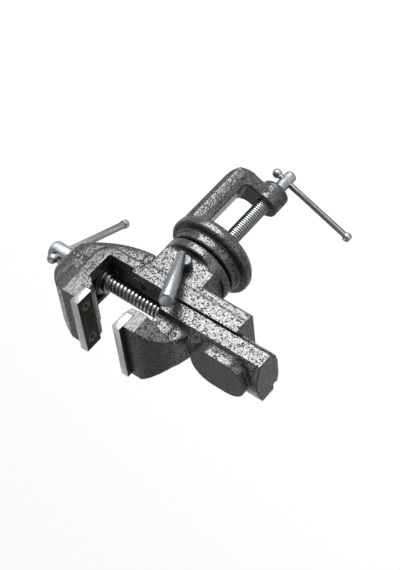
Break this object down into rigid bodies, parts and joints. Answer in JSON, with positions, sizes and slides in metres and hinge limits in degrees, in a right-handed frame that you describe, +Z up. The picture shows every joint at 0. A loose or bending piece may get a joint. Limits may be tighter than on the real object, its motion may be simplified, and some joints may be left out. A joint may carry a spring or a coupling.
{
  "type": "clamp-on swivel bench vise",
  "caption": "Small cast bench vise with a sliding jaw and anvil on a dovetail bed, a turntable with a lock lever, and a screw clamp that grips a table edge.",
  "frame": {"origin": "where the swivel axis meets the underside of the table plate, the face that rests on the table top", "axes": "+Z up the swivel axis to the jaws, +X along the main screw towards its handle, +Y across the jaws"},
  "size_m": [0.2104, 0.099, 0.212],
  "materials": {
    "cast_paint": "charcoal hammered enamel with dark pits on sand-cast iron",
    "plate_steel": "milled steel, working faces blackened",
    "screw_steel": "bright zinc-plated steel",
    "black_screws": "oil-blackened socket screws",
    "bar_steel": "drawn and plated steel rod",
    "lever_steel": "satin grey turned lever"
  },
  "bodies": {
    "clamp": {"clamp_frame": "cast_paint", "swivel_post": "screw_steel"},
    "pad": {"clamp_pad": "screw_steel"},
    "clamp_screw": {"clamp_screw": "screw_steel"},
    "clamp_bar": {"clamp_bar": "bar_steel", "clamp_bar_ends": "bar_steel"},
    "vise": {"vise_body": "cast_paint", "fixed_jaw_plate": "plate_steel", "fixed_plate_screws": "black_screws"},
    "lock": {"lock_screw": "lever_steel", "lock_lever": "lever_steel"},
    "jaw": {"sliding_jaw": "cast_paint", "sliding_jaw_plate": "plate_steel", "sliding_plate_screws": "black_screws"},
    "screw": {"main_screw": "screw_steel", "screw_washer": "screw_steel", "screw_collar": "screw_steel", "collar_pin": "screw_steel"},
    "main_bar": {"main_bar": "bar_steel", "main_bar_ends": "bar_steel"}
  },
  "joints": [
    {"name": "swivel", "type": "hinge", "parent": "clamp", "child": "vise", "pos_m": [0, 0, 0.03], "axis": [0, 0, 1], "continuous": true},
    {"name": "lock_turn", "type": "hinge", "parent": "vise", "child": "lock", "pos_m": [-0.004, -0.0231, 0.0405], "axis": [0, -1, 0], "range_deg": [0, 75]},
    {"name": "jaw_slide", "type": "slide", "parent": "vise", "child": "jaw", "axis": [1, 0, 0], "range_m": [-0.0217, 0.033]},
    {"name": "screw_turn", "type": "hinge", "parent": "vise", "child": "screw", "pos_m": [0, 0, 0.0725], "axis": [1, 0, 0], "range_deg": [-3305, 2175]},
    {"name": "main_bar_slide", "type": "slide", "parent": "screw", "child": "main_bar", "axis": [-0.075, -0.4986, 0.8636], "range_m": [0, 0.0745]},
    {"name": "pad_slide", "type": "slide", "parent": "clamp", "child": "pad", "axis": [0, 0, 1], "range_m": [-0.0445, 0.0042]},
    {"name": "clamp_turn", "type": "hinge", "parent": "pad", "child": "clamp_screw", "pos_m": [-0.00203, 0.00084, -0.05], "axis": [0, 0, 1], "range_deg": [-8020, 765]},
    {"name": "clamp_bar_slide", "type": "slide", "parent": "clamp_screw", "child": "clamp_bar", "axis": [0.8949, -0.4462, 0], "range_m": [0, 0.0561]}
  ],
  "couplings": [
    {"joint": "screw_turn", "follows": "jaw_slide", "rad_per_m": -1745.3},
    {"joint": "clamp_turn", "follows": "pad_slide", "rad_per_m": 3141.6}
  ]
}
